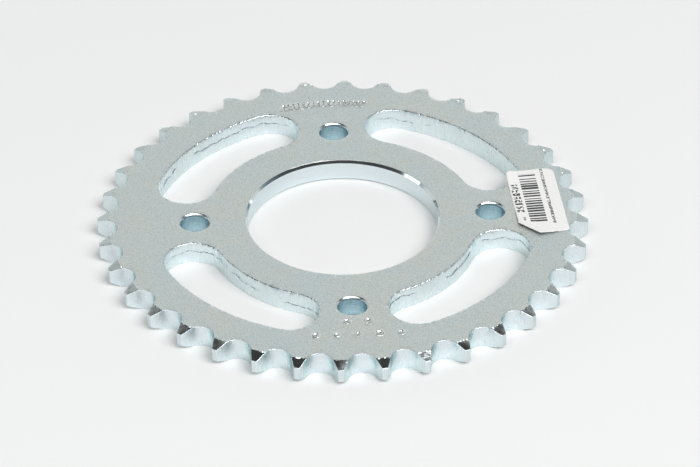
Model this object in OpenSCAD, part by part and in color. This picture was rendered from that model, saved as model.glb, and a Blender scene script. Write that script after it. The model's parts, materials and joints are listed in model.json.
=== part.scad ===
// Rear sprocket of a small motorcycle: one flat steel plate, bored and bolted to the wheel hub,
// with teeth for 428 roller chain, four kidney-shaped lightening slots and a paper label.
// All sizes are in millimetres. The origin is on the wheel axis, in the face that sits against
// the hub, and +Z points away from the hub. Bolt holes lie on the X and Y axes.

/* [Chain] */
// Pitch of the roller chain, pin to pin
chain_pitch = 12.7; // [12.6:0.05:12.8]
// Outside diameter of the chain's rollers
roller_d = 8.51; // [8.30:0.01:8.60]

/* [Teeth] */
// Number of teeth
tooth_count = 36; // [36:1:42]
// Play between a roller's radius and the round seat it rests in
seat_play = 0.045; // [0.02:0.005:0.10]
// Angle at the roller between the bottom of its seat and the start of the flank
seat_half_angle = 65; // [62:0.5:68]
// Radius of the convex tooth flank
flank_r = 39; // [36:1:60]
// Height of the tooth tips above the pitch circle
tip_above_pitch = 1.8; // [1.2:0.1:2.2]
// Turn of the first tooth gap from the first bolt hole, in degrees
tooth_clocking = 1; // [-4:0.1:4]
// Radial width of the bevel turned on both sides of the tooth tips
tip_bevel_w = 3.4; // [1.5:0.1:4]
// Height of that bevel along the axis
tip_bevel_h = 1.4; // [0.6:0.1:2]

/* [Plate] */
// Thickness of the plate
plate_t = 7; // [5:0.1:8]
// Diameter of the centre bore
bore_d = 58; // [50:0.5:60]
// Radial width of the lead-in turned around the outer mouth of the bore
bore_lead_w = 0.6; // [0.3:0.1:1]
// Height of that lead-in along the axis
bore_lead_h = 0.9; // [0.4:0.1:1.5]
// Width and height of the small chamfer around the hub-side mouth of the bore
bore_back_chamfer = 0.5; // [0.2:0.1:0.8]

/* [Bolt holes] */
// Diameter of the circle through the bolt holes' centres
bolt_circle_d = 90; // [86:0.5:94]
// Diameter of a bolt hole
bolt_hole_d = 8.5; // [8:0.1:10.5]
// Number of bolt holes, the same as the number of slots
bolt_count = 4; // [3:1:4]
// Width and height of the chamfer at both mouths of a bolt hole
bolt_chamfer = 0.55; // [0.1:0.05:0.8]

/* [Slots] */
// Radius of the arc that runs along the middle of a slot
slot_mid_r = 50.25; // [49:0.25:52]
// Width of a slot
slot_w = 17.6; // [10:0.2:18]
// Angle between the centres of a slot's two round ends
slot_sweep = 45; // [20:1:48]
// Turn of the slots from midway between the bolt holes, in degrees
slot_clocking = 0.55; // [-1:0.05:1]

/* [Label] */
// Length of the paper label
label_l = 32.8; // [20:0.2:34]
// Width of the paper label
label_w = 14.9; // [8:0.1:15]
// Thickness of the label's paper
label_t = 0.15; // [0.1:0.01:0.3]
// Distance of the label's middle from the wheel axis along X
label_mid_x = 59.7; // [58:0.1:60]
// Distance of the label's middle from the wheel axis along Y
label_mid_y = 3.9; // [-4:0.1:5]
// Lean of the label from the Y direction, in degrees
label_lean = 3.9; // [-6:0.1:6]
// Size of the folded-under corner along the label's short side
label_fold_w = 5.8; // [2:0.2:8]
// Size of the folded-under corner along the label's long side
label_fold_l = 6; // [2:0.2:8]
// Radius of the label's round corners
label_corner_r = 2; // [0.5:0.1:3]

/* [Hidden] */
$fn = 96;
// How far a cutter runs past the face it cuts
clear = 1;
pitch_r = chain_pitch / 2 / sin(180 / tooth_count);
seat_r = roller_d / 2 + seat_play;
tip_r = pitch_r + tip_above_pitch;
bevel_start_r = tip_r - tip_bevel_w;
bore_r = bore_d / 2;
bolt_hole_r = bolt_hole_d / 2;
half_tooth = 180 / tooth_count;
// The seat and the flank meet at one tangent, so the flank's centre is on the line through both
flank_centre = [pitch_r - (seat_r + flank_r) * cos(seat_half_angle), (seat_r + flank_r) * sin(seat_half_angle)];
flank_start = [pitch_r - seat_r * cos(seat_half_angle), seat_r * sin(seat_half_angle)];
bolt_pitch = 360 / bolt_count;
// Angle by which the two halves of a slot overlap
slot_overlap = 5;
zinc_color = [0.76, 0.80, 0.80];
paper_color = [0.93, 0.93, 0.92];

// Room for one roller: its round seat, opened outwards between the convex flanks of two teeth
module tooth_gap() {
    gap_top = tip_r + clear;
    gap_half_w = gap_top * sin(half_tooth);
    translate([pitch_r, 0]) circle(r = seat_r);
    difference() {
        polygon([
            [flank_start.x, -flank_start.y],
            [gap_top, -gap_half_w],
            [gap_top, gap_half_w],
            [flank_start.x, flank_start.y]
        ]);
        for (side = [-1, 1])
            translate([flank_centre.x, side * flank_centre.y]) circle(r = flank_r);
    }
}

// One end of a lightening slot: a round end centred on the X axis and the bent band that leads
// away from it, a little past the slot's middle
module slot_end() {
    lead = slot_sweep / 2 + slot_overlap;
    wedge_r = 2 * slot_mid_r;
    translate([slot_mid_r, 0]) circle(d = slot_w);
    intersection() {
        difference() {
            circle(r = slot_mid_r + slot_w / 2);
            circle(r = slot_mid_r - slot_w / 2);
        }
        polygon([[0, 0], [wedge_r, 0], wedge_r * [cos(lead), sin(lead)]]);
    }
}

// One lightening slot, halved by the X axis: two ends whose bands overlap in the middle
module slot() {
    for (side = [0, 1])
        mirror([0, side]) rotate(-slot_sweep / 2) slot_end();
}

// The plate seen from above, with the teeth, slots and bolt holes cut through
module plate_outline() {
    difference() {
        circle(r = tip_r + clear / 2);
        for (i = [0 : tooth_count - 1])
            rotate(tooth_clocking + i * 2 * half_tooth) tooth_gap();
        for (i = [0 : bolt_count - 1]) {
            rotate(i * bolt_pitch) translate([bolt_circle_d / 2, 0]) circle(r = bolt_hole_r);
            rotate((i + 0.5) * bolt_pitch + slot_clocking) slot();
        }
    }
}

// The turned blank: bored disc with bevelled rim and broken bore edges
module turned_blank() {
    rotate_extrude()
        polygon([
            [bore_r + bore_back_chamfer, 0],
            [bevel_start_r, 0],
            [tip_r, tip_bevel_h],
            [tip_r, plate_t - tip_bevel_h],
            [bevel_start_r, plate_t],
            [bore_r + bore_lead_w, plate_t],
            [bore_r, plate_t - bore_lead_h],
            [bore_r, bore_back_chamfer]
        ]);
}

// Chamfers at the two mouths of one bolt hole
module bolt_hole_chamfers() {
    translate([0, 0, plate_t - bolt_chamfer])
        cylinder(r1 = bolt_hole_r, r2 = bolt_hole_r + 2 * bolt_chamfer, h = 2 * bolt_chamfer);
    translate([0, 0, -bolt_chamfer])
        cylinder(r1 = bolt_hole_r + 2 * bolt_chamfer, r2 = bolt_hole_r, h = 2 * bolt_chamfer);
}

// The steel plate with everything cut into it
module sprocket_plate() {
    color(zinc_color)
        difference() {
            intersection() {
                turned_blank();
                translate([0, 0, -clear]) linear_extrude(plate_t + 2 * clear) plate_outline();
            }
            for (i = [0 : bolt_count - 1])
                rotate(i * bolt_pitch) translate([bolt_circle_d / 2, 0, 0]) bolt_hole_chamfers();
        }
}

// The label's outline about its own middle: round corners, with the one nearest -X and -Y folded away
module label_outline() {
    half_l = label_l / 2;
    half_w = label_w / 2;
    r = label_corner_r;
    difference() {
        union() {
            square([label_w - 2 * r, label_l], center = true);
            square([label_w, label_l - 2 * r], center = true);
            for (x = [r - half_w, half_w - r], y = [r - half_l, half_l - r])
                translate([x, y]) circle(r = r);
        }
        polygon([
            [-half_w - clear, -half_l - clear],
            [-half_w + label_fold_w + clear * label_fold_w / label_fold_l, -half_l - clear],
            [-half_w - clear, -half_l + label_fold_l + clear * label_fold_l / label_fold_w]
        ]);
    }
}

// The stuck-on paper label, flat on the outer face beside a bolt hole and over the end of one slot
module paper_label() {
    color(paper_color)
        translate([label_mid_x, label_mid_y, plate_t])
            rotate(label_lean)
                linear_extrude(label_t) label_outline();
}

sprocket_plate();
paper_label();
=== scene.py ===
"""Looks of the rear sprocket: a zinc-plated plate with cut, punched and turned surfaces, and its label."""
import json
import math

import bpy
import numpy as np
from mathutils import Matrix, Vector, noise
from mathutils.geometry import delaunay_2d_cdt
from mathutils.kdtree import KDTree


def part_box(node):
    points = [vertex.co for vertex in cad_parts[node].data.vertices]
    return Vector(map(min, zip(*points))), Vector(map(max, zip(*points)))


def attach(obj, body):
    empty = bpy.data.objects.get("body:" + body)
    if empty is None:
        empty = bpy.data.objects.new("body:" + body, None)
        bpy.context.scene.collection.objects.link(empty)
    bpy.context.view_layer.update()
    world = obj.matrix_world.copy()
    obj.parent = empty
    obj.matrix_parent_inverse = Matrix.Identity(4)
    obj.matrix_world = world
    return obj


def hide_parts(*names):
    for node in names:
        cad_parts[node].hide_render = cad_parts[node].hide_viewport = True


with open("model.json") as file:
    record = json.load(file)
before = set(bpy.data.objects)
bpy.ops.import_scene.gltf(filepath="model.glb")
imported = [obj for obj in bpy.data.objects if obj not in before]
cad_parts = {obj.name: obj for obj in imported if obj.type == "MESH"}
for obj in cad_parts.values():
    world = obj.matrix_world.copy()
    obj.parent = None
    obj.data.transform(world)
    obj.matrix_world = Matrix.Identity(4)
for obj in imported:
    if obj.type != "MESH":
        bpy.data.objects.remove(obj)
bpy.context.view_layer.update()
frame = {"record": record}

# ---------------------------------------------------------------- sizes, in millimetres and degrees
MM = 0.001
MOUNTS = {m["name"]: m for m in frame["record"]["mounts"]}
PLATE_LOW, PLATE_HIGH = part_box("sprocket_plate")
PLATE_T = (PLATE_HIGH.z - PLATE_LOW.z) / MM

# Teeth: a round roller seat and two convex flanks per gap, with a bevel turned on both sides of the tips
TEETH = MOUNTS["chain_teeth"]["dims"]["count"]
PITCH_R = MOUNTS["chain_teeth"]["dims"]["pcd_mm"] / 2
SEAT_R = 4.3
FLANK_R = 39
SEAT_HALF_ANGLE = 65
TIP_R = PITCH_R + 1.8
TOOTH_CLOCKING = 1
TIP_BEVEL_W = 3.4
TIP_BEVEL_H = 1.4
TIP_CORNER = 0.22
BEVEL_START_R = TIP_R - TIP_BEVEL_W
BEVEL_SLOPE = TIP_BEVEL_H / TIP_BEVEL_W

# Centre bore, with a lead-in on the outer side and a small chamfer on the hub side
BORE_R = MOUNTS["hub_bore"]["dims"]["r_mm"]
BORE_LEAD_W = 0.6
BORE_LEAD_H = 0.9
BORE_BACK_CHAMFER = 0.5

# Bolt holes
HOLE_R = MOUNTS["hub_bolts"]["dims"]["hole_r_mm"]
HOLE_CIRCLE_R = MOUNTS["hub_bolts"]["dims"]["pcd_mm"] / 2
HOLES = MOUNTS["hub_bolts"]["dims"]["count"]
HOLE_CHAMFER = 0.55

# Kidney-shaped slots, midway between the bolt holes
SLOT_MID_R = 50.25
SLOT_W = 17.6
SLOT_SWEEP = 45
SLOT_CLOCKING = 0.55

# Paper label. Its fold is measured along its short and its long side, and its outline is a little slanted
LABEL_MID = (59.7, 3.9)
LABEL_LEAN = 3.9
LABEL_L = 32.8
LABEL_W = 14.9
LABEL_CORNER_R = 2
LABEL_WIDE_CORNER_R = 2.8
LABEL_TIGHT_CORNER_R = 1.1
LABEL_FOLD_W = 5.8
LABEL_FOLD_L = 6
LABEL_SKEW = 0.6
PAPER_T = 0.1
PAPER_GAP = 0.03

# How far apart the mesh's points are
SEAT_SPACING = 0.24
FLANK_SPACING = 0.36
LAND_SPACING = 0.3
BORE_SPACING = 0.6
HOLE_SPACING = 0.3
SLOT_SPACING = 0.25
FILL_SPACING = 1.7
MARK_SPACING = 0.17
LABEL_EDGE_SPACING = 0.35
LABEL_SPACING = 0.5

# How round the cut edges are, and how far past a slot's wall or a mark's rim the metal is uneven
CUT_EDGE = 0.12
ROLL_REACH = 0.6
MARK_REACH = 0.85

# Which part of the surface a face belongs to, in the order of the material slots
ZONES = [
    "face", "cut_wall", "punched_wall", "turned_bevel", "lead_in", "turned_bore", "chamfer", "drilled_wall",
    "mark",
]
PAPER_ZONES = ["printed", "paper", "backing"]
ZONE = {name: i for zones in (ZONES, PAPER_ZONES) for i, name in enumerate(zones)}


# ---------------------------------------------------------------- outlines
def arc(centre, radius, start, end, spacing):
    """Points along an arc from start to end degrees, without its last point."""
    steps = max(2, round(abs(math.radians(end - start)) * radius / spacing))
    turn = np.radians(np.linspace(start, end, steps, endpoint=False))
    return np.column_stack([centre[0] + radius * np.cos(turn), centre[1] + radius * np.sin(turn)])


def direction(degrees):
    """A unit vector, anticlockwise from +X."""
    return np.array([math.cos(math.radians(degrees)), math.sin(math.radians(degrees))])


def turned(points, degrees):
    """The points turned anticlockwise about the wheel axis."""
    c, s = direction(degrees)
    return points @ np.array([[c, s], [-s, c]])


def circle_loop(centre, radius, spacing):
    """A clockwise circle, so that the hole is on the right of the direction of travel."""
    return arc(centre, radius, 360, 0, spacing)


def tooth_gap_points():
    """One tooth pitch of the outline about +X, from the middle of one tip to the middle of the next."""
    pitch = 360 / TEETH
    reach = SEAT_R + FLANK_R
    a = math.radians(SEAT_HALF_ANGLE)
    flank_centre = np.array([PITCH_R - reach * math.cos(a), reach * math.sin(a)])
    # The flank and the tip circle meet where both distances fit
    d = np.hypot(*flank_centre)
    along = (d * d + TIP_R ** 2 - FLANK_R ** 2) / (2 * d)
    across = math.sqrt(TIP_R ** 2 - along ** 2)
    unit = flank_centre / d
    tip = unit * along + np.array([unit[1], -unit[0]]) * across
    tip_angle = math.degrees(math.atan2(tip[1], tip[0]))
    to_tip = math.degrees(math.atan2(tip[1] - flank_centre[1], tip[0] - flank_centre[0]))
    trim_tip = math.degrees(TIP_CORNER / TIP_R)
    trim_flank = math.degrees(TIP_CORNER / FLANK_R)
    seat = arc((PITCH_R, 0), SEAT_R, 180 + SEAT_HALF_ANGLE, 180 - SEAT_HALF_ANGLE, SEAT_SPACING)
    flank = arc(flank_centre, FLANK_R, -SEAT_HALF_ANGLE, to_tip - trim_flank, FLANK_SPACING)
    land = arc((0, 0), TIP_R, tip_angle + trim_tip, pitch / 2, LAND_SPACING)
    flank_end = flank_centre + FLANK_R * direction(to_tip - trim_flank)
    bend = corner(flank_end, tip, land[0])
    rising = np.vstack([flank, bend, land])
    falling = (rising * [1, -1])[::-1][:-1]
    return np.vstack([falling, seat, rising])


def corner(start, middle, end, steps=4):
    """A short rounded corner between two points, bending towards the middle one."""
    t = np.linspace(0, 1, steps, endpoint=False)[:, None]
    return (1 - t) ** 2 * start + 2 * t * (1 - t) * middle + t ** 2 * end


def tooth_loop():
    gap = tooth_gap_points()
    return np.vstack([turned(gap, TOOTH_CLOCKING + i * 360 / TEETH) for i in range(TEETH)])


def slot_loop(turn):
    half = SLOT_SWEEP / 2
    r = SLOT_W / 2
    ends = [turned(np.array([[SLOT_MID_R, 0.0]]), side * half)[0] for side in (-1, 1)]
    points = np.vstack([
        arc((0, 0), SLOT_MID_R + r, half, -half, SLOT_SPACING),
        arc(ends[0], r, -half, -half - 180, SLOT_SPACING),
        arc((0, 0), SLOT_MID_R - r, -half, half, SLOT_SPACING),
        arc(ends[1], r, half + 180, half, SLOT_SPACING),
    ])
    return turned(points, turn)


def hole_centres():
    return [turned(np.array([[HOLE_CIRCLE_R, 0.0]]), i * 360 / HOLES)[0] for i in range(HOLES)]


def slot_turns():
    return [(i + 0.5) * 360 / HOLES + SLOT_CLOCKING for i in range(HOLES)]


def loop_normals(points):
    """Unit normals on the right of the direction of travel, which is the open side of every loop."""
    ahead = np.roll(points, -1, axis=0) - np.roll(points, 1, axis=0)
    normals = np.column_stack([ahead[:, 1], -ahead[:, 0]])
    return normals / np.linalg.norm(normals, axis=1)[:, None]


def wobble(points, scale, seed):
    """Smooth noise from -1 to 1 at each point; scale is in waves per millimetre."""
    return np.array([noise.noise(Vector((x * scale, y * scale, seed))) for x, y in points])


def ramp(value, low, high):
    """A smooth step from 0 at low to 1 at high. Low may be the larger of the two."""
    t = np.clip((value - low) / (high - low), 0, 1)
    return t * t * (3 - 2 * t)


# ---------------------------------------------------------------- stamped marks
def punch_marks():
    """Centre-punch dots near one bolt hole: a row of five and a row of two above it, some struck harder."""
    # Each row: its spacing, its middle in X, its Y and the radii of its dots
    rows = [
        (6.3, 0.85, -59.0, (0.8, 0.55, 0.6, 0.95, 0.78)),
        (6.45, 1.05, -52.7, (0.78, 0.9)),
    ]
    for spacing, middle, y, radii in rows:
        for i, radius in enumerate(radii):
            dot = np.array([middle + (i - (len(radii) - 1) / 2) * spacing, y])
            yield dot, dot, radius


def tally_marks():
    """A plain row of short stamped strokes across the far rim, along a shallow arc."""
    count = 17
    row_radius = 60.2
    row_middle = 92.5
    step = 1.5
    length = 2.0
    lean = 25
    for i in range(count):
        turn = row_middle - (i - (count - 1) / 2) * step
        middle = row_radius * direction(turn)
        half = length * direction(turn - lean) / 2
        yield middle - half, middle + half, 0.34


# Each mark: the two ends of its middle line and its radius. A dot's ends are the same
MARKS = list(punch_marks()) + list(tally_marks())


def distance_to_mark(points, start, end):
    along = end - start
    share = np.clip(((points - start) @ along) / max(along @ along, 1e-9), 0, 1)[:, None]
    return np.linalg.norm(points - start - share * along, axis=1)


def mark_height(points):
    """Pits with a low raised lip of pushed-up metal around each."""
    pit_depth = 0.24
    lip_middle = 0.25
    lip_width = 0.26
    height = np.zeros(len(points))
    for number, (start, end, radius) in enumerate(MARKS):
        away = distance_to_mark(points, start, end)
        near = away < radius + MARK_REACH
        if not near.any():
            continue
        spots = points[near]
        uneven = np.clip(1.1 + 1.1 * wobble(spots, 1.1, 3.1 * number + 0.7), 0.6, None)
        pit = -pit_depth * radius ** 0.5 * np.clip(1 - (away[near] / radius) ** 2, 0, 1) ** 0.6
        lip = (0.16 + 0.14 * radius) * uneven * np.exp(-((away[near] - radius - lip_middle) / lip_width) ** 2)
        height[near] += pit + lip
    return height


# ---------------------------------------------------------------- plate surface heights
def bevel_drop(points):
    """How far the turned tip bevel lies below the flat face."""
    r = np.hypot(points[:, 0], points[:, 1])
    soft = 0.1
    past = (r - BEVEL_START_R) / soft
    return BEVEL_SLOPE * soft * np.logaddexp(0, past * 2) / 2


def crease_burr(points):
    """Broken specks of a burr along the crease where the tip bevel starts, stronger on some teeth."""
    reach = 0.5
    width = 0.2
    height = np.zeros(len(points))
    past = np.hypot(points[:, 0], points[:, 1]) - BEVEL_START_R
    near = abs(past) < reach
    spots = points[near]
    strength = 0.25 + 0.7 * np.clip(wobble(spots, 0.06, 17.0) + 0.3, 0, 1)
    height[near] = strength * (wobble(spots, 1.6, 11.0) + 0.15) * np.exp(-(past[near] / width) ** 2)
    return height


def top_z(points):
    return PLATE_T - bevel_drop(points) + crease_burr(points) + mark_height(points)


def bottom_z(points):
    return bevel_drop(points)


# ---------------------------------------------------------------- mesh building
class Shell:
    """Points in millimetres with a shade from 0 to 1, and faces with a zone and wall coordinates."""

    def __init__(self):
        self.points = []
        self.shades = []
        self.faces = []
        self.zones = []
        self.uvs = []
        self.count = 0

    def add(self, xy, z, shade=0.0):
        """New points, as their numbers."""
        self.points.append(np.column_stack([xy, z]))
        self.shades.append(np.broadcast_to(shade, len(xy)))
        first = self.count
        self.count += len(xy)
        return np.arange(first, self.count)

    def band(self, upper, lower, zone, along, z_upper, z_lower):
        """Quads between two closed rings of the same length."""
        n = len(upper)
        for j in range(n):
            k = (j + 1) % n
            s0, s1 = along[j], along[j + 1]
            self.faces.append((upper[j], lower[j], lower[k], upper[k]))
            self.uvs.append(((s0, z_upper[j]), (s0, z_lower[j]), (s1, z_lower[k]), (s1, z_upper[k])))
            self.zones.append(zone)

    def wall(self, loop, rows):
        """Rings from top to bottom. Each row is inset into the metal, height, zone of the band below it
        and, where wanted, how dark it is. Gives the top and the bottom ring, as numbers and places."""
        normals = loop_normals(loop)
        steps = np.linalg.norm(np.roll(loop, -1, axis=0) - loop, axis=1)
        along = np.concatenate([[0], np.cumsum(steps)])
        rings = []
        for inset, z, zone, *shade in rows:
            xy = loop - normals * np.asarray(inset).reshape(-1, 1)
            z = z(xy) if callable(z) else np.broadcast_to(z, len(loop))
            rings.append((self.add(xy, z, *shade), xy, z, zone))
        for (a, _, za, zone), (b, _, zb, _) in zip(rings, rings[1:]):
            self.band(a, b, ZONE[zone], along, za, zb)
        return rings[0][:2], rings[-1][:2]

    def fill(self, rings, inner, height, zone_of, up):
        """Triangles between closed rings, through the loose inner points, facing up or down."""
        inner_index = self.add(inner, height(inner))
        xy = np.vstack([ring for _, ring in rings] + [inner])
        index = np.concatenate([i for i, _ in rings] + [inner_index])
        edges = []
        base = 0
        for _, ring in rings:
            n = len(ring)
            edges += [(base + j, base + (j + 1) % n) for j in range(n)]
            base += n
        out = delaunay_2d_cdt([Vector(p) for p in xy], edges, [], 0, 1e-6)
        source = [orig[0] for orig in out[3]]
        triangles = np.array([[source[v] for v in face] for face in out[2]])
        middles = xy[triangles].mean(axis=1)
        inside = np.zeros(len(triangles), bool)
        for _, ring in rings:
            inside ^= in_polygon(middles, ring)
        for triangle, middle in zip(triangles[inside], middles[inside]):
            face = triangle if up else triangle[::-1]
            self.faces.append(tuple(index[face]))
            self.uvs.append(tuple(map(tuple, xy[face])))
            self.zones.append(ZONE[zone_of(middle)])

    def mesh(self, name, materials):
        data = bpy.data.meshes.new(name)
        points = np.vstack(self.points) * MM
        data.from_pydata(points.tolist(), [], [tuple(int(i) for i in f) for f in self.faces])
        for slot_material in materials:
            data.materials.append(slot_material)
        data.polygons.foreach_set("material_index", self.zones)
        data.attributes.new("shade", "FLOAT", "POINT").data.foreach_set("value", np.concatenate(self.shades))
        uv = data.uv_layers.new(name="wall")
        uv.data.foreach_set("uv", [c for face in self.uvs for corner_uv in face for c in corner_uv])
        data.validate()
        data.shade_smooth()
        return data


def in_polygon(points, ring):
    """True where a point is inside a closed ring, by counting crossings."""
    x, y = points[:, 0], points[:, 1]
    inside = np.zeros(len(points), bool)
    for (x0, y0), (x1, y1) in zip(ring, np.roll(ring, -1, axis=0)):
        if y0 == y1:
            continue
        crosses = (y0 > y) != (y1 > y)
        inside ^= crosses & (x < (x1 - x0) * (y - y0) / (y1 - y0) + x0)
    return inside


def rounded(radius_in, radius_down, top, steps=4):
    """Rows of a rounded top edge: from the face at full inset down to the wall."""
    for i in range(steps + 1):
        turn = math.radians(90 * i / steps)
        drop = radius_down * (1 - math.cos(turn))
        yield radius_in * (1 - math.sin(turn)), (lambda xy, d=drop: top(xy) - d)


def rounded_bottom(radius_in, radius_up, bottom, steps=4):
    """Rows of a rounded bottom edge: from the wall down to the face at full inset."""
    for i in range(steps + 1):
        turn = math.radians(90 * (steps - i) / steps)
        rise = radius_up * (1 - math.cos(turn))
        yield radius_in * (1 - math.sin(turn)), (lambda xy, d=rise: bottom(xy) + d)


def tooth_rows():
    """The cut wall round the teeth, with small rounded edges that follow the tip bevels."""
    rows = [(inset, z, "cut_wall") for inset, z in rounded(CUT_EDGE, CUT_EDGE, top_z)]
    for share in (0.33, 0.67):
        rows.append((0, lambda xy, s=share: top_z(xy) * (1 - s) + bottom_z(xy) * s, "cut_wall"))
    rows += [(inset, z, "cut_wall") for inset, z in rounded_bottom(CUT_EDGE, CUT_EDGE, bottom_z, 2)]
    return rows


def slot_rows(loop, seed):
    """A punched wall: a speckled rolled edge, a drawn part, a ragged ledge and, below it, a torn part."""
    roll_in = 0.40 + 0.16 * wobble(loop, 0.7, seed) + 0.16 * wobble(loop, 1.5, seed + 5)
    roll_down = 0.34 + 0.10 * wobble(loop, 0.8, seed + 9)
    low_wave = wobble(loop, 0.045, seed + 20)
    fine_wave = wobble(loop, 0.35, seed + 30)
    break_z = PLATE_T * (0.56 + 0.32 * low_wave + 0.10 * fine_wave) + 0.22 * wobble(loop, 1.3, seed + 33)
    broken = ramp(wobble(loop, 0.055, seed + 40) + 0.25 * fine_wave, -0.12, 0.06)
    # Painted shade along the ledge where the wall broke, strongest on its broken stretches
    shade = broken * np.clip(0.55 + 0.9 * wobble(loop, 1.1, seed + 45), 0, 1)
    drawn = 0.04 * wobble(loop, 0.5, seed + 50)
    rows = []
    roll_steps = 4
    for i in range(roll_steps + 1):
        turn = math.radians(90 * i / roll_steps)
        speck = 0.25 * wobble(loop, 1.6, seed + 60 + 0.15 * i) * math.sin(2 * turn + 0.45)
        inset = roll_in * (1 - math.sin(turn)) + drawn * math.sin(turn)
        rows.append((inset, PLATE_T - roll_down * (1 - math.cos(turn)) + speck, "punched_wall"))
    top = PLATE_T - roll_down
    ledge = 0.15 * broken
    for share in (0.4, 0.8):
        rows.append((drawn + ledge * share, top + (break_z + 0.15 - top) * share, "punched_wall"))
    rows.append((drawn + ledge, break_z + 0.1, "punched_wall"))
    rows.append((drawn + ledge, break_z + 0.04, "punched_wall", shade))
    rows.append((drawn, break_z - 0.04, "punched_wall", shade))
    rows.append((drawn - 0.02 * broken, break_z - 0.12, "punched_wall"))
    low = 0.2
    for share in (0.5, 1):
        rough = 0.03 * (1 - share) * wobble(loop, 0.8, seed + 80 + share)
        rows.append((drawn + rough, break_z - 0.12 + (low - break_z + 0.12) * share, "punched_wall"))
    rows += [(drawn + inset, z, "punched_wall") for inset, z in rounded_bottom(0.1, 0.1, bottom_z, 2)]
    return rows


def bore_rows():
    """A turned bore: flat lead-in cone on the outer side, a smooth wall and a small back chamfer."""
    crisp = 0.02
    back = BORE_BACK_CHAMFER
    rows = [(BORE_LEAD_W + crisp, PLATE_T, "lead_in")]
    for share in (0.01, 0.05, 0.5, 0.95, 0.99):
        rows.append((BORE_LEAD_W * (1 - share), PLATE_T - BORE_LEAD_H * share, "lead_in"))
    return rows + [
        (0, PLATE_T - BORE_LEAD_H - crisp, "turned_bore"),
        (0, PLATE_T - BORE_LEAD_H - 0.3, "turned_bore"),
        (0, PLATE_T / 2, "turned_bore"),
        (0, back + 0.3, "turned_bore"),
        (0, back + crisp, "turned_bore"),
        (crisp, back - crisp, "turned_bore"),
        (back - crisp, crisp, "turned_bore"),
        (back + crisp, 0, "turned_bore"),
    ]


def hole_rows(loop):
    """A drilled wall with tool rings that lean a little, and a chamfer at both mouths."""
    c = HOLE_CHAMFER
    soft = 0.02
    groove = 0.05
    bulge = 0.12
    ring_pitch = 0.5
    # How dark the painted shade is on the top two tool rings, just inside the mouth
    mouth_shade = 0.8
    rows = [(c + soft, PLATE_T, "chamfer")]
    for share in (0.03, 0.25, 0.5, 0.75, 0.97):
        out = bulge * share * (1 - share)
        rows.append((c * (1 - share) - out, PLATE_T - c * share + out, "chamfer"))
    rows.append((0, PLATE_T - c - soft, "drilled_wall"))
    low = c + 2 * soft
    high = PLATE_T - c - 2 * soft
    lean = 0.3 * np.sin(np.arctan2(*(loop - loop.mean(axis=0)).T) + loop.mean())
    for number, z in enumerate(np.arange(high, low, -ring_pitch / 2)):
        depth = groove * (0.5 + 0.5 * noise.noise(Vector((loop.mean(), 0.7, z * 3)))) * (number % 2)
        height = z + lean * min(1, high - z, z - low)
        rows.append((depth, height, "drilled_wall", mouth_shade * (number < 2)))
    return rows + [
        (0, c + soft, "drilled_wall"),
        (soft, c, "chamfer"),
        (c - soft, soft, "chamfer"),
        (c + soft, 0, "face"),
    ]


def fill_points(spacing):
    """A staggered grid over the plate, clear of every edge."""
    grid = np.arange(-TIP_R, TIP_R, spacing)
    x, y = np.meshgrid(grid, grid * math.sqrt(3) / 2)
    x = x + np.where(np.arange(len(grid)) % 2, spacing / 2, 0)[:, None]
    points = np.column_stack([x.ravel(), y.ravel()])
    return points[clear_of_edges(points, spacing * 0.55)]


def clear_of_edges(points, gap):
    """True where a point is in the metal and at least gap away from every edge and from the tooth roots."""
    root_w = 3.2
    r = np.hypot(points[:, 0], points[:, 1])
    ok = (r > BORE_R + BORE_LEAD_W + gap) & (r < BEVEL_START_R - root_w - gap)
    for centre in hole_centres():
        ok &= np.linalg.norm(points - centre, axis=1) > HOLE_R + HOLE_CHAMFER + gap
    for turn in slot_turns():
        local = turned(points, -turn)
        angle = np.degrees(np.arctan2(local[:, 1], local[:, 0]))
        nearest = np.radians(np.clip(angle, -SLOT_SWEEP / 2, SLOT_SWEEP / 2))
        spine = SLOT_MID_R * np.column_stack([np.cos(nearest), np.sin(nearest)])
        ok &= np.linalg.norm(local - spine, axis=1) > SLOT_W / 2 + ROLL_REACH + gap
    return ok


def tooth_root_points():
    """Points over the teeth and on the crease where the bevel starts, which keep the crease crisp."""
    pitch = 360 / TEETH
    tooth_radii = np.arange(BEVEL_START_R - 3, TIP_R - 0.3, 0.5)
    crease_offsets = (-0.3, -0.12, 0, 0.12, 0.3)
    crease_degrees = 0.165 * np.arange(-18, 19)
    points = []
    for i in range(TEETH):
        middle = TOOTH_CLOCKING + (i + 0.5) * pitch
        for radius in tooth_radii:
            points.append((radius, middle))
        for offset in crease_offsets:
            for turn in crease_degrees:
                points.append((BEVEL_START_R + offset, middle + turn))
    r, turn = np.array(points).T
    turn = np.radians(turn)
    return np.column_stack([r * np.cos(turn), r * np.sin(turn)])


def grid_points(columns, rows):
    x, y = np.meshgrid(columns, rows)
    return np.column_stack([x.ravel(), y.ravel()])


def mark_points():
    """A fine grid over each stamped mark."""
    points = []
    for start, end, radius in MARKS:
        reach = radius + MARK_REACH
        low = np.minimum(start, end) - reach
        high = np.maximum(start, end) + reach
        columns, rows = (np.arange(low[axis], high[axis], MARK_SPACING) for axis in (0, 1))
        spots = grid_points(columns, rows)
        points.append(spots[distance_to_mark(spots, start, end) < reach])
    return np.vstack(points)


def near_marks(points, gap):
    close = np.zeros(len(points), bool)
    for start, end, radius in MARKS:
        close |= distance_to_mark(points, start, end) < radius + MARK_REACH + gap
    return close


def well_inside(points, rings, gap):
    """True where a point is in the metal and no ring point is nearer than gap."""
    inside = np.zeros(len(points), bool)
    for _, ring in rings:
        inside ^= in_polygon(points, ring)
    every = np.vstack([ring for _, ring in rings])
    tree = KDTree(len(every))
    for i, (x, y) in enumerate(every):
        tree.insert((x, y, 0), i)
    tree.balance()
    for i in np.nonzero(inside)[0]:
        inside[i] = tree.find((*points[i], 0))[2] > gap
    return inside


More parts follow.
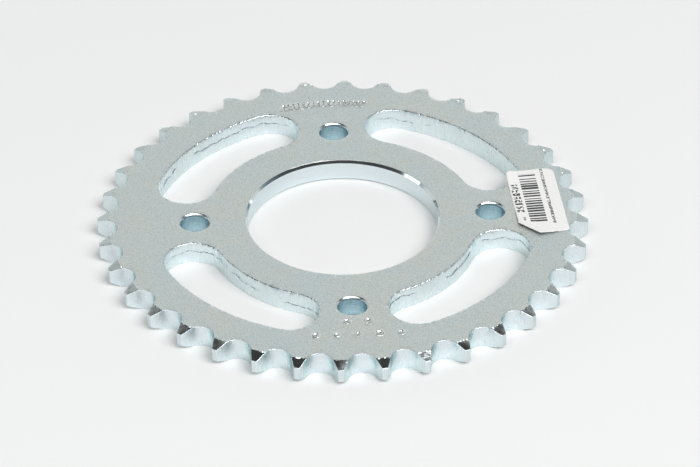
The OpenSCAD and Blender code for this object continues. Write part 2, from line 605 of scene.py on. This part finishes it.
def plate_mesh(materials):
    """Every wall of the plate, then its two flat faces between the rings of the walls."""
    shell = Shell()
    teeth = tooth_loop()
    bore = circle_loop((0, 0), BORE_R, BORE_SPACING)
    tops = []
    bottoms = []
    walls = [(teeth, tooth_rows()), (bore, bore_rows())]
    for i, turn in enumerate(slot_turns()):
        loop = slot_loop(turn)
        walls.append((loop, slot_rows(loop, 100.0 * (i + 1))))
    for centre in hole_centres():
        loop = circle_loop(centre, HOLE_R, HOLE_SPACING)
        walls.append((loop, hole_rows(loop)))
    for loop, rows in walls:
        top, bottom = shell.wall(loop, rows)
        tops.append(top)
        bottoms.append(bottom)
    mark_gap = 0.3
    edge_gap = 0.12
    grid = fill_points(FILL_SPACING)
    rim = tooth_root_points()
    flat = grid[~near_marks(grid, mark_gap)]
    top_points = np.vstack([flat, rim[well_inside(rim, tops, edge_gap)], mark_points()])
    bottom_points = np.vstack([grid, rim[well_inside(rim, bottoms, edge_gap)]])
    shell.fill(tops, top_points, top_z, top_zone, up=True)
    shell.fill(bottoms, bottom_points, bottom_z, bottom_zone, up=False)
    return shell.mesh("plate_finished", materials)


def top_zone(middle):
    lip_reach = 0.45
    if math.hypot(*middle) > BEVEL_START_R:
        return "turned_bevel"
    for start, end, radius in MARKS:
        if distance_to_mark(middle[None], start, end)[0] < radius + lip_reach:
            return "mark"
    return "face"


def bottom_zone(middle):
    return "turned_bevel" if math.hypot(*middle) > BEVEL_START_R else "face"


# ---------------------------------------------------------------- paper label, about its own middle
def label_loop():
    """The sheet's outline with three round corners, anticlockwise from the fold across the fourth."""
    half_w = LABEL_W / 2
    half_l = LABEL_L / 2
    r, tight_r, wide_r = LABEL_CORNER_R, LABEL_TIGHT_CORNER_R, LABEL_WIDE_CORNER_R
    fold_start = np.array([LABEL_FOLD_W - half_w, -half_l - LABEL_SKEW])
    fold_end = np.array([-half_w, LABEL_FOLD_L - half_l - LABEL_SKEW])
    # Each round corner: its centre, its radius and the direction it starts in
    corners = [
        (half_w - tight_r, tight_r - half_l + LABEL_SKEW / 2, tight_r, -90),
        (half_w - r, half_l - r, r, 0),
        (wide_r - half_w, half_l - wide_r, wide_r, 90),
    ]
    path = [fold_start[None]]
    for x, y, radius, start in corners:
        path.append(arc((x, y), radius, start, start + 90, LABEL_EDGE_SPACING))
        path.append(np.array([[x, y]]) + radius * direction(start + 90))
    path.append(fold_end[None])
    rough = np.vstack(path + [fold_start[None]])
    return densified(rough, LABEL_EDGE_SPACING)[:-1]


def densified(path, spacing):
    """The same path with extra points wherever two neighbours are further apart than the spacing. They bow
    out by a hair, so that no three edge points are in line."""
    bow = 0.05
    points = []
    for a, b in zip(path, path[1:]):
        steps = max(1, math.ceil(np.linalg.norm(b - a) / spacing))
        outwards = np.array([b[1] - a[1], a[0] - b[0]]) / np.linalg.norm(b - a)
        for share in np.arange(steps) / steps:
            points.append(a + (b - a) * share + outwards * bow * share * (1 - share))
    return np.array(points + [path[-1]])


def from_fold(points):
    """Distance from the folded corner's crease, into the sheet."""
    crease = np.array([-LABEL_W / 2, LABEL_FOLD_L - LABEL_L / 2 - LABEL_SKEW])
    inwards = np.array([LABEL_FOLD_L, LABEL_FOLD_W]) / math.hypot(LABEL_FOLD_L, LABEL_FOLD_W)
    return (points - crease) @ inwards


def label_lift(points):
    """Height of the sheet's underside: sprung up at the fold, with a step where the turned-under flap ends,
    curled at one corner and wavy along one edge. All distances are in millimetres."""
    u, v = points.T
    away = from_fold(points)
    fold = 0.55 * np.exp(-np.clip(away, 0, None) / 2.2) + 0.11 * ramp(away, 4.6, 3.8)
    edge = ramp(v, 11.5, 16.4)
    curl = 0.85 * np.exp(-((u + 7.2) / 2.2) ** 2) * ramp(v, 7.5, 15.5)
    wave = edge * (0.22 * np.exp(-((u - 3.2) / 2.4) ** 2) - 0.05 * np.exp(-((u + 3.2) / 1.2) ** 2))
    ripple = 0.03 * (1 + wobble(points, 0.16, 7.0))
    return PLATE_T + PAPER_GAP + fold + curl + wave + ripple


def label_mesh(materials):
    """A thin sheet with a rounded fold along the turned-under corner."""
    shell = Shell()
    loop = label_loop()
    at_fold = ramp(from_fold(loop), 0.3, 0.0)
    edge_steps = 4
    rows = []
    for i in range(edge_steps + 1):
        turn = math.radians(180 * i / edge_steps)
        bulge = -0.12 * at_fold * math.sin(turn)
        # At the fold the edge is thicker, and its last row reaches down to where the flap is turned under
        thicker = 4 if i == edge_steps else 0.8
        depth = PAPER_T * (1 - math.cos(turn)) / 2 * (1 + thicker * at_fold)
        # The lowest band of the edge takes the glued side's painted shade; at the fold, where the edge is
        # thick, it shows as the shaded gap under the fold
        zone = "backing" if i == edge_steps - 1 else "paper"
        rows.append((bulge, label_lift(loop) + PAPER_T - depth, zone))
    top, bottom = shell.wall(loop, rows)
    grid = np.arange(-LABEL_L / 2, LABEL_L / 2, LABEL_SPACING)
    inner = grid_points(grid, grid)
    inner = inner[well_inside(inner, [top], 0.3)]
    shell.fill([top], inner, lambda xy: label_lift(xy) + PAPER_T, lambda middle: "printed", up=True)
    shell.fill([bottom], inner, label_lift, lambda middle: "backing", up=False)
    return shell.mesh("label_paper_sheet", materials)


# ---------------------------------------------------------------- materials
def material(name):
    made = bpy.data.materials.new(name)
    made.use_nodes = True
    tree = made.node_tree
    return made, tree, tree.nodes["Principled BSDF"]


def add(tree, kind, inputs=None, **settings):
    """A new node; inputs are values or output sockets."""
    node = tree.nodes.new(kind)
    for key, value in settings.items():
        setattr(node, key, value)
    for key, value in (inputs or {}).items():
        if isinstance(value, bpy.types.NodeSocket):
            tree.links.new(value, node.inputs[key])
        else:
            node.inputs[key].default_value = value
    return node


def colour_ramp(tree, value, stops):
    node = add(tree, "ShaderNodeValToRGB", {"Fac": value})
    ramp_points = node.color_ramp.elements
    while len(ramp_points) < len(stops):
        ramp_points.new(0.5)
    for element, (position, colour) in zip(ramp_points, stops):
        element.position = position
        element.color = (*colour, 1)
    return node.outputs["Color"]


def grey(value):
    return (value, value, value)


def spot(tree, scale, detail=2.0, vector=None, rough=0.5):
    """Noise in object space; scale is in waves per metre."""
    vector = vector or add(tree, "ShaderNodeTexCoord").outputs["Object"]
    return add(tree, "ShaderNodeTexNoise", {"Vector": vector, "Scale": scale, "Detail": detail,
                                            "Roughness": rough}).outputs["Fac"]


def wall_vector(tree, along, up):
    """Coordinates along a wall and up it, in millimetres, stretched by the two factors."""
    uv = add(tree, "ShaderNodeUVMap", uv_map="wall").outputs["UV"]
    return add(tree, "ShaderNodeVectorMath", {0: uv, 1: (along, up, 1)}, operation="MULTIPLY").outputs[0]


def mix(tree, factor, a, b, blend="MIX"):
    node = tree.nodes.new("ShaderNodeMix")
    node.data_type = "RGBA"
    node.blend_type = blend
    for key, value in ((0, factor), (6, a), (7, b)):
        if isinstance(value, bpy.types.NodeSocket):
            tree.links.new(value, node.inputs[key])
        else:
            node.inputs[key].default_value = value if key == 0 else (*value, 1)
    return node.outputs[2]


def plug(tree, bsdf, **sockets):
    for name, value in sockets.items():
        key = name.replace("_", " ")
        if isinstance(value, bpy.types.NodeSocket):
            tree.links.new(value, bsdf.inputs[key])
        else:
            bsdf.inputs[key].default_value = value


def bump(tree, height, strength, distance, normal=None):
    inputs = {"Height": height, "Strength": strength, "Distance": distance}
    if normal:
        inputs["Normal"] = normal
    return add(tree, "ShaderNodeBump", inputs).outputs["Normal"]


def zinc_face():
    """Flat plated face: matt, fine-grained, with faint blue and straw patches in the passivate."""
    made, tree, bsdf = material("zinc_face")
    patches = colour_ramp(tree, spot(tree, 60, 7, rough=0.72), [
        (0.28, (0.83, 0.945, 0.975)), (0.5, (0.875, 0.945, 0.93)), (0.72, (0.92, 0.945, 0.885))])
    grain = spot(tree, 2600, 2)
    speck = colour_ramp(tree, grain, [(0.3, grey(0.80)), (0.5, grey(1.0)), (0.72, grey(1.16))])
    plug(tree, bsdf, Base_Color=mix(tree, 1.0, patches, speck, "MULTIPLY"), Metallic=1.0,
         Roughness=colour_ramp(tree, spot(tree, 900, 3), [(0.3, grey(0.46)), (0.7, grey(0.58))]),
         Normal=bump(tree, grain, 0.55, 0.00004, bump(tree, spot(tree, 420, 3), 0.3, 0.00006)))
    return made


def with_painted_edge_shade(tree, colour, deep):
    """Painted shade over a wall: its own colour seen straight on, going deeper the more it is seen edge-on.
    """
    edge_on = add(tree, "ShaderNodeLayerWeight", {"Blend": 0.5}).outputs["Facing"]
    depth = colour_ramp(tree, edge_on, [(0.12, grey(1.0)), (0.95, deep)])
    return mix(tree, 1.0, colour, depth, "MULTIPLY")


def zinc_wall(name, base, deep, streak_scale, streak, roughness):
    """Plated wall with streaks that run up and down it, painted shade in the cracks that the mesh's shade
    marks, and painted shade where it is seen edge-on.
    """
    made, tree, bsdf = material(name)
    streaks = spot(tree, 1.0, 4, wall_vector(tree, streak_scale, 0.12), 0.65)
    cloud = spot(tree, 160, 3)
    tint = colour_ramp(tree, cloud, [(0.3, tuple(c * 0.94 for c in base)), (0.7, base)])
    painted_crack_shade = add(tree, "ShaderNodeAttribute", attribute_name="shade").outputs["Fac"]
    plug(tree, bsdf, Base_Color=mix(tree, painted_crack_shade, with_painted_edge_shade(tree, tint, deep), (0.16, 0.24, 0.30)), Metallic=1.0,
         Roughness=colour_ramp(tree, streaks, [(0.3, grey(roughness * 0.8)), (0.7, grey(roughness * 1.25))]),
         Normal=bump(tree, streaks, streak, 0.00012))
    return made


# Painted shade: what is left of a turned surface's colour where it is seen edge-on
TURNED_EDGE_SHADE = (0.70, 0.75, 0.74)


def turned_metal(name, base, roughness, blotch=0.3):
    """Bright turned surface with fine tool lines running round it; blotch is how uneven its gloss is."""
    made, tree, bsdf = material(name)
    lines = spot(tree, 1.0, 3, wall_vector(tree, 0.05, 9.0), 0.6)
    gloss = [(0.3, grey(roughness * (1 - blotch))), (0.7, grey(roughness * (1 + blotch)))]
    # Painted shade where the surface is seen edge-on
    plug(tree, bsdf, Base_Color=with_painted_edge_shade(tree, base, TURNED_EDGE_SHADE), Metallic=1.0,
         Roughness=colour_ramp(tree, spot(tree, 700, 2), gloss), Normal=bump(tree, lines, 0.03, 0.00002))
    return made


def bevel_metal():
    """The tip bevels: mirror-like, with places where the turning tool tore the metal and left it dull."""
    made, tree, bsdf = material("zinc_turned_bevel")
    lines = spot(tree, 1.0, 3, wall_vector(tree, 0.05, 9.0), 0.6)
    place = add(tree, "ShaderNodeTexCoord").outputs["Object"]
    # The move, in metres, sets which teeth are torn
    move = (-0.0125, -0.0024, 0.004)
    moved = add(tree, "ShaderNodeVectorMath", {0: place, 1: move}, operation="ADD").outputs[0]
    torn = colour_ramp(tree, spot(tree, 55, 1, moved), [(0.52, grey(0.0)), (0.62, grey(1.0))])
    gloss = colour_ramp(tree, spot(tree, 700, 2), [(0.3, grey(0.09)), (0.7, grey(0.17))])
    pitted = bump(tree, spot(tree, 900, 3), calculate(tree, "MULTIPLY", torn, 0.8), 0.0003)
    # Painted shade where the bevel is seen edge-on
    plug(tree, bsdf, Base_Color=with_painted_edge_shade(tree, (0.69, 0.745, 0.75), TURNED_EDGE_SHADE), Metallic=1.0,
         Roughness=calculate(tree, "MULTIPLY_ADD", torn, 0.22, gloss),
         Normal=bump(tree, lines, 0.03, 0.00002, pitted))
    return made


def drilled_metal():
    """Wall of a drilled hole: with broken tool rings, painted shade at its mouth, and painted shade, deep
    blue, where seen edge-on.
    """
    made, tree, bsdf = material("zinc_drilled_wall")
    rings = spot(tree, 1.0, 3, wall_vector(tree, 0.05, 1.5), 0.6)
    scuffs = spot(tree, 1.0, 3, wall_vector(tree, 0.8, 0.25), 0.6)
    worn = calculate(tree, "MULTIPLY_ADD", rings, 0.5, calculate(tree, "MULTIPLY", scuffs, 0.5))
    tint = colour_ramp(tree, worn, [
        (0.38, (0.44, 0.63, 0.70)), (0.5, (0.61, 0.83, 0.90)), (0.62, (0.77, 0.95, 0.99))])
    # Painted shade just inside the mouth, where the mesh's shade marks it
    mouth = add(tree, "ShaderNodeAttribute", attribute_name="shade").outputs["Fac"]
    plug(tree, bsdf, Base_Color=mix(tree, mouth, with_painted_edge_shade(tree, tint, (0.22, 0.37, 0.41)), (0.10, 0.16, 0.20)),
         Metallic=0.55, Roughness=0.32)
    return made


def plate_materials():
    """The plate's materials, in the order of its zones."""
    made = {
        "face": zinc_face(),
        # The second colour of each wall is the painted shade it goes to where it is seen edge-on
        "cut_wall": zinc_wall("zinc_cut_wall", base=(0.83, 0.90, 0.935), deep=(0.54, 0.65, 0.63),
                              streak_scale=0.9, streak=0.02, roughness=0.25),
        "punched_wall": zinc_wall("zinc_punched_wall", base=(0.83, 0.915, 0.94), deep=(0.70, 0.76, 0.75),
                                  streak_scale=1.3, streak=0.03, roughness=0.28),
        "turned_bevel": bevel_metal(),
        "lead_in": turned_metal("zinc_lead_in", (0.80, 0.84, 0.85), 0.08, 0.1),
        "turned_bore": turned_metal("zinc_turned_bore", (0.81, 0.885, 0.92), 0.2, 0.1),
        "chamfer": turned_metal("zinc_chamfer", (0.70, 0.75, 0.76), 0.25),
        "drilled_wall": drilled_metal(),
        "mark": turned_metal("zinc_mark", (0.95, 0.97, 0.96), 0.28),
    }
    return [made[name] for name in ZONES]


def calculate(tree, operation, *values):
    return add(tree, "ShaderNodeMath", dict(enumerate(values)), operation=operation).outputs[0]


def between(tree, value, low, high):
    above = calculate(tree, "GREATER_THAN", value, low)
    return calculate(tree, "MULTIPLY", above, calculate(tree, "LESS_THAN", value, high))


def chance(tree, u, v, cell_u, cell_v, seed):
    """A random value from 0 to 1 for each cell of a grid."""
    column = calculate(tree, "FLOOR", calculate(tree, "DIVIDE", calculate(tree, "ADD", u, LABEL_W), cell_u))
    row = calculate(tree, "FLOOR", calculate(tree, "DIVIDE", calculate(tree, "ADD", v, LABEL_L), cell_v))
    cell = add(tree, "ShaderNodeCombineXYZ", {0: column, 1: row, 2: seed}).outputs[0]
    return add(tree, "ShaderNodeTexWhiteNoise", {"Vector": cell}, noise_dimensions="3D").outputs["Value"]


def bars(tree, u, v, pitch):
    """Bars across the label at an even pitch, each with its own width."""
    place = calculate(tree, "FRACT", calculate(tree, "DIVIDE", calculate(tree, "ADD", v, LABEL_L), pitch))
    width = calculate(tree, "MULTIPLY_ADD", chance(tree, u, v, LABEL_L, pitch, 4.5), 0.5, 0.32)
    return calculate(tree, "LESS_THAN", place, width)


def random_marks(tree, u, v, cell_u, cell_v, pitch, share, seed):
    """Random cells in evenly spaced clumps, which look like a line of small print but have no letters."""
    inked = calculate(tree, "LESS_THAN", chance(tree, u, v, cell_u, cell_v, seed), share)
    place = calculate(tree, "FRACT", calculate(tree, "DIVIDE", calculate(tree, "ADD", v, LABEL_L), pitch))
    return calculate(tree, "MULTIPLY", inked, calculate(tree, "LESS_THAN", place, 0.72))


def print_ink(tree, u, v):
    """Where the label is inked: two blocks of bars and rows of plain random marks. No lettering."""
    # Each block: its reach across and along the label, and its pattern
    blocks = [
        ((-3.7, 1.5), (-11.3, 11.9), bars(tree, u, v, 1.3)),
        ((-3.7, 1.5), (12.9, 14.1), bars(tree, u, v, 0.9)),
        ((-6.9, -4.6), (-5.4, 9.1), random_marks(tree, u, v, 0.46, 0.43, 1.72, 0.66, 2.5)),
        ((-5.6, -4.9), (-10.2, -7.8), random_marks(tree, u, v, 0.36, 0.40, 0.80, 0.66, 6.5)),
        ((3.1, 4.05), (-12.0, 16.0), random_marks(tree, u, v, 0.48, 0.41, 0.82, 0.72, 3.5)),
    ]
    ink = 0.0
    for across, along, pattern in blocks:
        inside = calculate(tree, "MULTIPLY", between(tree, u, *across), between(tree, v, *along))
        ink = calculate(tree, "MAXIMUM", ink, calculate(tree, "MULTIPLY", inside, pattern))
    return ink


def paper(name, printed=False):
    made, tree, bsdf = material(name)
    fibres = spot(tree, 1500, 3)
    white = colour_ramp(tree, fibres, [(0.3, (0.89, 0.89, 0.875)), (0.7, (0.915, 0.91, 0.90))])
    if printed:
        part = add(tree, "ShaderNodeSeparateXYZ", {0: wall_vector(tree, 1, 1)})
        ink = print_ink(tree, part.outputs["X"], part.outputs["Y"])
        white = mix(tree, ink, white, (0.045, 0.045, 0.05))
    plug(tree, bsdf, Base_Color=white, Roughness=0.42, Normal=bump(tree, fibres, 0.15, 0.00002))
    return made


def backing():
    """The label's glued side, painted near-black with a grey mottle as shade."""
    made, tree, bsdf = material("label_backing")
    painted_shade_mottle = colour_ramp(tree, spot(tree, 1200, 3), [(0.3, grey(0.05)), (0.7, grey(0.16))])
    plug(tree, bsdf, Base_Color=painted_shade_mottle, Roughness=0.7)
    return made


def paper_materials():
    made = {
        "printed": paper("label_print", printed=True),
        "paper": paper("label_paper"),
        "backing": backing(),
    }
    return [made[name] for name in PAPER_ZONES]


# ---------------------------------------------------------------- stage, light and camera
def floor_material():
    """Pale floor that is clear from below, so that the hub side can be looked at too."""
    made, tree, bsdf = material("floor")
    plug(tree, bsdf, Base_Color=(0.80, 0.80, 0.80, 1), Roughness=0.6)
    bsdf.inputs["Specular IOR Level"].default_value = 0.25
    plug(tree, bsdf, Emission_Color=(1, 1, 1, 1), Emission_Strength=0.1)
    made.cycles.emission_sampling = "NONE"
    clear = add(tree, "ShaderNodeBsdfTransparent").outputs[0]
    back = add(tree, "ShaderNodeNewGeometry").outputs["Backfacing"]
    shader = add(tree, "ShaderNodeMixShader", {0: back, 1: bsdf.outputs[0], 2: clear}).outputs[0]
    tree.links.new(shader, tree.nodes["Material Output"].inputs["Surface"])
    return made


def make_floor():
    """One square a hair below the plate, so that the two never share a plane. Sizes are in metres."""
    half = 2.5
    height = -0.00003
    corners = [(-half, -half, height), (half, -half, height), (half, half, height), (-half, half, height)]
    data = bpy.data.meshes.new("floor")
    data.from_pydata(corners, [], [(0, 1, 2, 3)])
    data.materials.append(floor_material())
    floor = bpy.data.objects.new("floor", data)
    bpy.context.scene.collection.objects.link(floor)


def area_light(name, azimuth, elevation, distance, size, radiance, colour):
    """A soft box that faces the sprocket, as bright as its radiance. Azimuth 0 is +X and 90 is +Y, and the
    distance and the size are in metres."""
    data = bpy.data.lights.new(name, "AREA")
    data.shape = "RECTANGLE"
    data.size, data.size_y = size
    data.energy = radiance * math.pi * size[0] * size[1]
    data.color = colour
    light = bpy.data.objects.new(name, data)
    a, e = math.radians(azimuth), math.radians(elevation)
    towards = Vector((math.cos(a) * math.cos(e), math.sin(a) * math.cos(e), math.sin(e)))
    light.location = towards * distance
    light.rotation_mode = "QUATERNION"
    light.rotation_quaternion = towards.to_track_quat("Z", "Y")
    bpy.context.scene.collection.objects.link(light)


def make_lights():
    """Three soft boxes in front of the sprocket and a low strip on its left."""
    warm_white = (1.0, 0.998, 0.99)
    cool_white = (0.92, 0.99, 0.99)
    # After its name, each light has its azimuth, elevation, distance, size, radiance and colour
    area_light("right_softbox", -46, 53, 3.0, (1.9, 1.7), 5.4, warm_white)
    area_light("middle_softbox", -93, 52, 3.0, (2.4, 1.7), 2.5, warm_white)
    area_light("left_softbox", -132, 48, 3.0, (1.6, 0.6), 2.2, warm_white)
    area_light("left_strip", 188, 16.5, 1.4, (0.85, 0.24), 1.65, cool_white)


def studio_world():
    """A room with a pale far wall that fades upwards, a dark ceiling, and a dark wall behind the camera that
    is bright only near the floor."""
    world = bpy.data.worlds.new("studio")
    world.use_nodes = True
    bpy.context.scene.world = world
    tree = world.node_tree
    ray = add(tree, "ShaderNodeTexCoord").outputs["Generated"]
    part = add(tree, "ShaderNodeSeparateXYZ", {0: ray})
    height = part.outputs["Z"]
    far_wall = colour_ramp(tree, height, [
        (0.0, (0.76, 0.78, 0.78)), (0.30, (0.76, 0.78, 0.78)), (0.42, (0.75, 0.78, 0.78)),
        (0.515, (0.70, 0.73, 0.725)), (0.62, (0.60, 0.62, 0.615)), (0.78, (0.26, 0.26, 0.26)),
        (0.91, (0.060, 0.052, 0.050)), (1.0, (0.060, 0.052, 0.050))])
    near_wall = colour_ramp(tree, height, [
        (0.0, (1.6, 1.62, 1.62)), (0.10, (1.1, 1.15, 1.16)), (0.18, (0.28, 0.36, 0.40)),
        (0.27, (0.15, 0.20, 0.23)), (0.36, (0.07, 0.08, 0.09)), (0.5, grey(0.05))])
    ahead = add(tree, "ShaderNodeMapRange", {"Value": part.outputs["Y"], "From Min": 0.05, "From Max": 0.4},
                interpolation_type="SMOOTHSTEP")
    shade = mix(tree, ahead.outputs[0], near_wall, far_wall)
    tree.links.new(shade, tree.nodes["Background"].inputs["Color"])
    tree.nodes["Background"].inputs["Strength"].default_value = 1.0


def make_camera():
    """Long lens, looking down at the front of the sprocket. Distances are in millimetres."""
    elevation = math.radians(36.3)
    spin = math.radians(3.6)
    roll = math.radians(0.13)
    distance = 1523.4
    aim_right = 2.19
    aim_up = 0.43
    turn = Matrix.Rotation(-spin, 3, "Z")
    right = turn @ Vector((1, 0, 0))
    up = turn @ Vector((0, math.sin(elevation), math.cos(elevation)))
    back = turn @ Vector((0, -math.cos(elevation), math.sin(elevation)))
    data = bpy.data.cameras.new("camera")
    data.sensor_width = 36
    data.lens = 257
    data.clip_start, data.clip_end = 0.1, 20
    camera = bpy.data.objects.new("camera", data)
    place = (back * distance + right * aim_right + up * aim_up) * MM
    x_axis = right * math.cos(roll) - up * math.sin(roll)
    y_axis = right * math.sin(roll) + up * math.cos(roll)
    turn_to = Matrix((x_axis, y_axis, back)).transposed()
    camera.matrix_world = Matrix.Translation(place) @ turn_to.to_4x4()
    bpy.context.scene.collection.objects.link(camera)
    bpy.context.scene.camera = camera


# ---------------------------------------------------------------- build
plate = bpy.data.objects.new("plate_finished", plate_mesh(plate_materials()))
bpy.context.scene.collection.objects.link(plate)
weights = plate.modifiers.new("even_normals", "WEIGHTED_NORMAL")
weights.keep_sharp = True
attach(plate, "root")
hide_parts("sprocket_plate")

label = bpy.data.objects.new("label_paper_sheet", label_mesh(paper_materials()))
label.matrix_world = (Matrix.Translation((LABEL_MID[0] * MM, LABEL_MID[1] * MM, 0))
                      @ Matrix.Rotation(math.radians(LABEL_LEAN), 4, "Z"))
bpy.context.scene.collection.objects.link(label)
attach(label, "root")
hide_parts("paper_label")

make_floor()
studio_world()
make_lights()
make_camera()
bpy.context.scene.view_settings.view_transform = "Standard"
